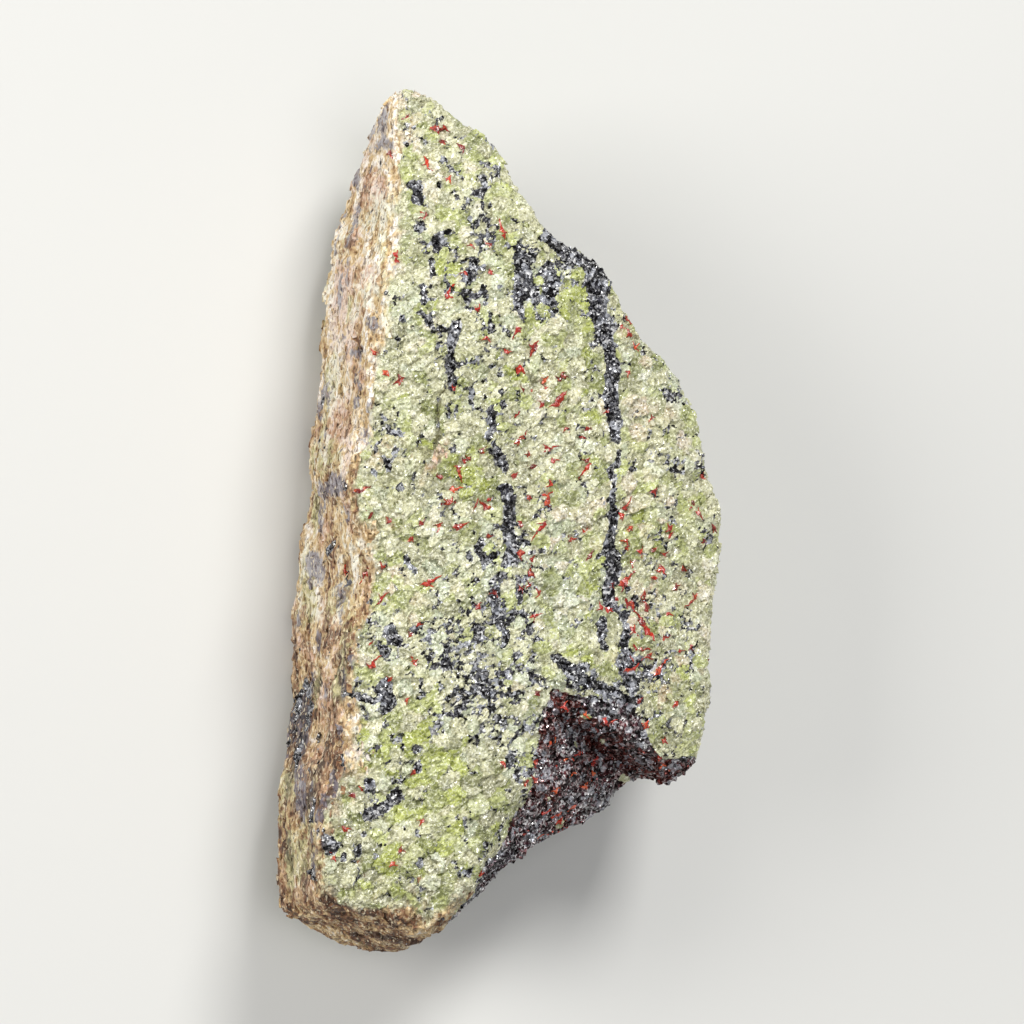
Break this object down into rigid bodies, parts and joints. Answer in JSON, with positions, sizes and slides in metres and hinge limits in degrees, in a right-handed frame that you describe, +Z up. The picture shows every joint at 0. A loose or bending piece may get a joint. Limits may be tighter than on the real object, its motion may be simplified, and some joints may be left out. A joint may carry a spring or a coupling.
{
  "type": "willemite ore specimen",
  "caption": "Broken hand specimen of granular green willemite ore with black and red mineral streaks and a weathered side, lying on its back.",
  "frame": {"origin": "under the middle of the specimen's bounding box, on the surface that it lies on", "axes": "+Y runs along the slab to its point, +X across it with the weathered side at -X, +Z up out of the fresh green face"},
  "size_m": [0.0594, 0.1192, 0.0358],
  "materials": {
    "willemite": "granular broken rock, pale yellow-green glassy grains",
    "franklinite": "black submetallic grains in streaks",
    "zincite": "deep red glassy wedges between the grains",
    "weathered_crust": "dull tan and brown weathered joint face"
  },
  "bodies": {
    "root": {"willemite_ore": "willemite"}
  },
  "joints": []
}
